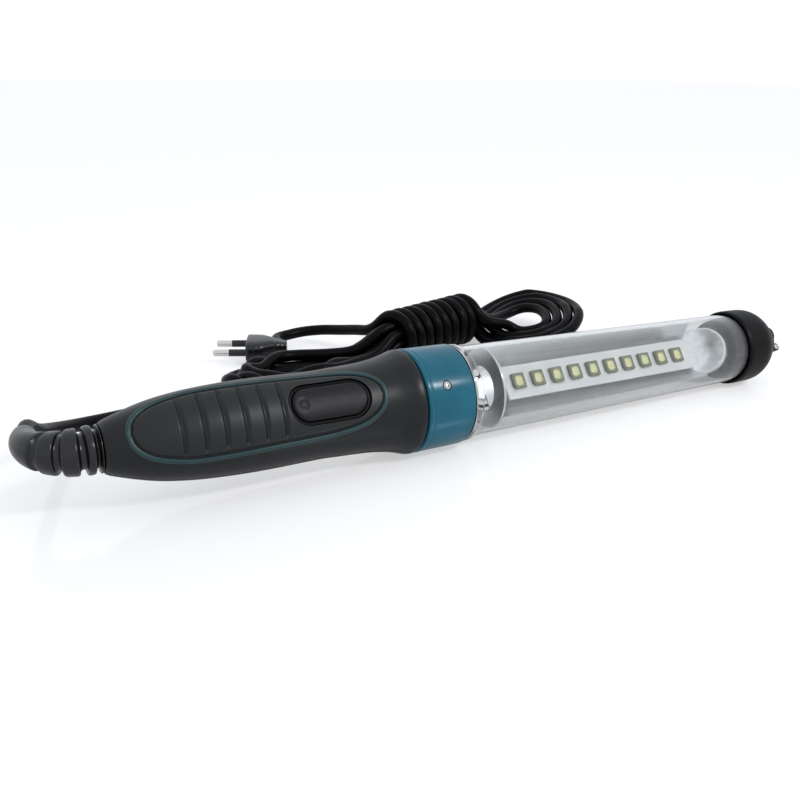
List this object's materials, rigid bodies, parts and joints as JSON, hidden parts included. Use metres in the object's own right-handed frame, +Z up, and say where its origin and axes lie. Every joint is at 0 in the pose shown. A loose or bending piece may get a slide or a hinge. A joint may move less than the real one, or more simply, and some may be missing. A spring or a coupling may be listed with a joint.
{
  "type": "led inspection lamp",
  "caption": "Tapered hand-held workshop lamp: dark grip with push button, teal collar, clear tube over a lit strip, rubber cap with folding hook, and a mains lead wound into a hank.",
  "frame": {"origin": "on the surface the lamp lies on, under the middle of the lamp's box without its free cord", "axes": "+X along the lamp from the cord boot to the hanging hook, +Z up, the light and the button look towards -Y and up"},
  "size_m": [0.4178, 0.2128, 0.0489],
  "materials": {
    "shell": "fine matte texture, near black",
    "grip": "soft moulded rubber, satin",
    "trim": "dark teal, satin",
    "button": "smooth satin",
    "collar": "petrol blue, glossy",
    "clear": "clear polycarbonate, polished",
    "mirror": "metallised plastic, bright",
    "board_white": "white solder mask",
    "board_green": "green solder mask",
    "led": "yellow phosphor in a frame, unlit",
    "aluminium": "extruded, brushed",
    "steel": "zinc plated",
    "pins": "nickel plated",
    "dark": "black moulded plastic",
    "pale": "ivory moulded plastic",
    "cord": "black flexible sheath, satin"
  },
  "bodies": {
    "lamp": {"handle_shell_front": "shell", "handle_shell_back": "shell", "grip_pad": "grip", "button_bezel": "grip", "end_cap": "grip", "socket_seal": "grip", "grip_trim": "trim", "lock_collar": "collar", "lens_tube": "clear", "reflector_trough": "mirror", "reflector_plate": "mirror", "reflector_scoop": "mirror", "led_board": "board_white", "driver_board": "board_green", "led_01": "led", "led_02": "led", "led_03": "led", "led_04": "led", "led_05": "led", "led_06": "led", "led_07": "led", "led_08": "led", "led_09": "led", "led_10": "led", "board_rail": "aluminium", "handle_screw_1": "steel", "handle_screw_2": "steel", "handle_screw_3": "steel", "handle_screw_4": "steel", "clamp_screw_1": "steel", "clamp_screw_2": "steel", "collar_screw": "steel", "switch_spring": "steel", "plug_pin_1": "pins", "plug_pin_2": "pins", "switch_body": "dark", "capacitor": "dark", "transformer": "dark", "tube_socket": "dark", "end_plug": "dark", "terminal_block": "pale", "cord_clamp": "pale", "cord_boot": "cord", "cord_lead": "cord", "cord_hank": "cord", "cord_tail": "cord", "cord_end": "cord", "plug_body": "cord", "mains_wire_a": "cord", "mains_wire_b": "cord", "light_wire_a": "cord", "light_wire_b": "cord"},
    "button": {"button": "button", "switch_plunger": "pale"},
    "hook_swivel": {"hook_swivel": "dark", "hook_pin": "steel"},
    "hook": {"hook": "dark"}
  },
  "joints": [
    {"name": "button_press", "type": "slide", "parent": "lamp", "child": "button", "axis": [-0.0169, 0.7934, -0.6085], "range_m": [0, 0.0015], "stiffness_N_per_m": 1200, "springref_m": -0.001},
    {"name": "hook_turn", "type": "hinge", "parent": "lamp", "child": "hook_swivel", "pos_m": [-0.06099, 0, 0.02455], "axis": [0.9999, 0, -0.0172], "continuous": true},
    {"name": "hook_fold", "type": "hinge", "parent": "hook_swivel", "child": "hook", "pos_m": [0.19089, -0.00341, 0.01577], "axis": [-0.0105, 0.7934, -0.6087], "range_deg": [0, 180]}
  ]
}
